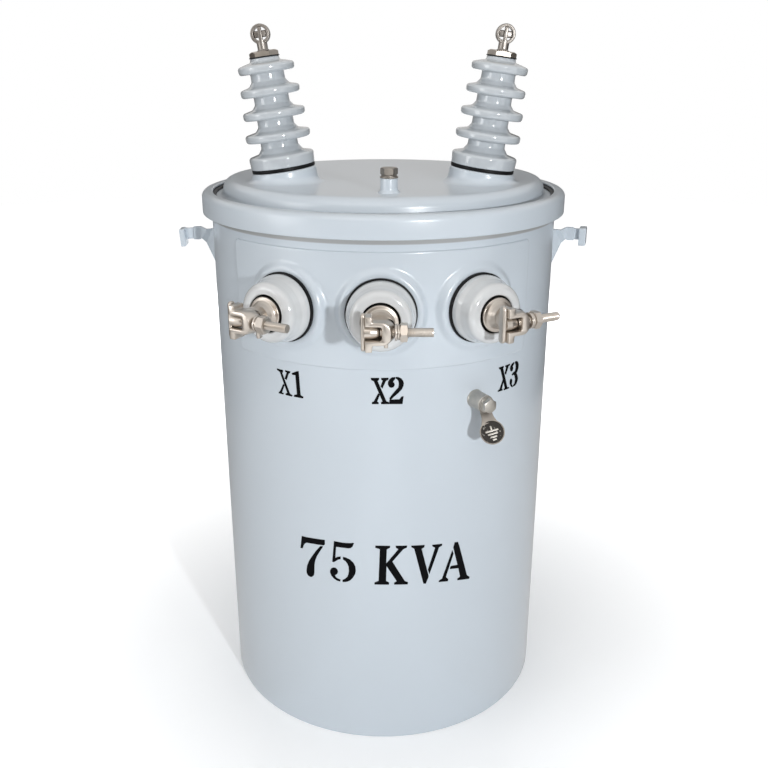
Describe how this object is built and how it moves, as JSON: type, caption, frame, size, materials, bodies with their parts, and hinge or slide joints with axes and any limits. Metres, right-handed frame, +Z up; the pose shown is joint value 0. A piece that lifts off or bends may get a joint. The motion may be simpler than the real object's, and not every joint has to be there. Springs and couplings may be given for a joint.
{
  "type": "pole mounted transformer",
  "caption": "Round painted steel tank with a clamped cover, leaning high voltage bushings, front low voltage bushings with clamps, ground boss, lifting lugs and rear pole brackets.",
  "frame": {"origin": "centre of the tank's foot, on the ground plane", "axes": "+Z up, -Y towards the low voltage terminals, +X to the right as seen from the terminals, +Y towards the pole"},
  "size_m": [0.66, 0.6997, 1.0851],
  "materials": {
    "paint": "gloss light blue-grey enamel",
    "rubber": "moulded black rubber",
    "porcelain_grey": "glossy grey glaze",
    "porcelain_white": "glossy pale grey glaze",
    "tinned_bronze": "dull tin plating on cast bronze",
    "steel": "bare steel"
  },
  "bodies": {
    "root": {"tank_wall": "paint", "tank_bottom": "paint", "bushing_panel": "paint", "cover": "paint", "cover_gasket": "rubber", "cover_band": "paint", "band_bolt": "steel", "cover_boss": "paint", "cover_bolt": "steel", "hv_gasket_l": "rubber", "hv_gasket_r": "rubber", "hv_bushing_l": "porcelain_grey", "hv_bushing_r": "porcelain_grey", "hv_seal_l": "rubber", "hv_seal_r": "rubber", "hv_nut_l": "tinned_bronze", "hv_nut_r": "tinned_bronze", "hv_eye_l": "tinned_bronze", "hv_eye_r": "tinned_bronze", "hv_keeper_l": "tinned_bronze", "hv_keeper_r": "tinned_bronze", "lv_gasket_1": "rubber", "lv_gasket_2": "rubber", "lv_gasket_3": "rubber", "lv_bushing_1": "porcelain_white", "lv_bushing_2": "porcelain_white", "lv_bushing_3": "porcelain_white", "lv_clamp_1": "tinned_bronze", "lv_clamp_2": "tinned_bronze", "lv_clamp_3": "tinned_bronze", "lv_tbolt_1": "tinned_bronze", "lv_tbolt_2": "tinned_bronze", "lv_tbolt_3": "tinned_bronze", "lv_nut_1": "tinned_bronze", "lv_nut_2": "tinned_bronze", "lv_nut_3": "tinned_bronze", "ground_boss": "steel", "ground_bolt": "steel", "ground_tag": "steel", "lifting_lug_l": "paint", "lifting_lug_r": "paint", "hanger_upper": "paint", "hanger_lower": "paint", "lv_seat_1": "paint", "lv_seat_2": "paint", "lv_seat_3": "paint"}
  },
  "joints": []
}
